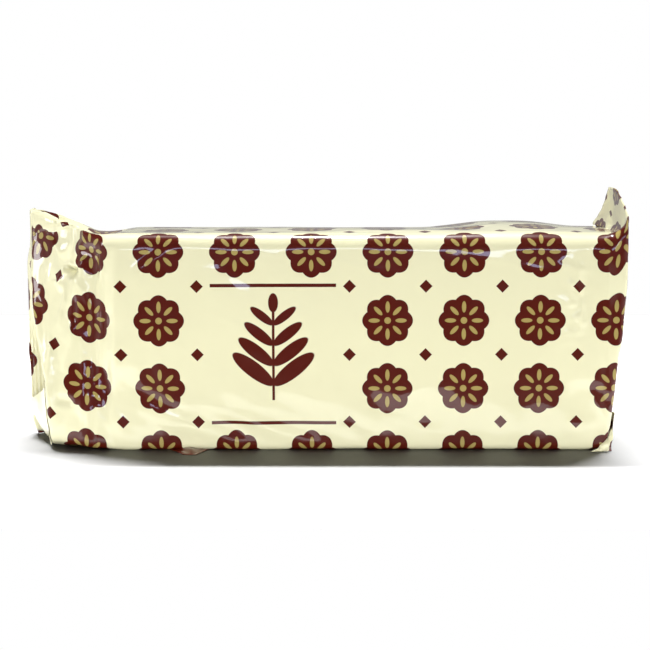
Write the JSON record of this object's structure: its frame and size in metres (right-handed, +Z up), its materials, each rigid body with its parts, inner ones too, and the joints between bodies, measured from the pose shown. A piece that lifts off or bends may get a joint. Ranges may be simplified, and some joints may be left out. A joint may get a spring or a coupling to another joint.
{
  "type": "wrapped sesame halva block",
  "caption": "Long block of sesame halva sealed in glossy printed film, with a pillowed, crimped fin at one end and a standing film ear at the other.",
  "frame": {"origin": "middle of the pack's footprint, on the surface that it lies on", "axes": "+X along the block towards the end with the standing ear, +Y from the front panel to the back, +Z up"},
  "size_m": [0.322, 0.0886, 0.135],
  "materials": {
    "printed_film": "glossy printed film, cream with dark brown motifs"
  },
  "bodies": {
    "root": {"wrapped_halva_block": "printed_film"}
  },
  "joints": []
}
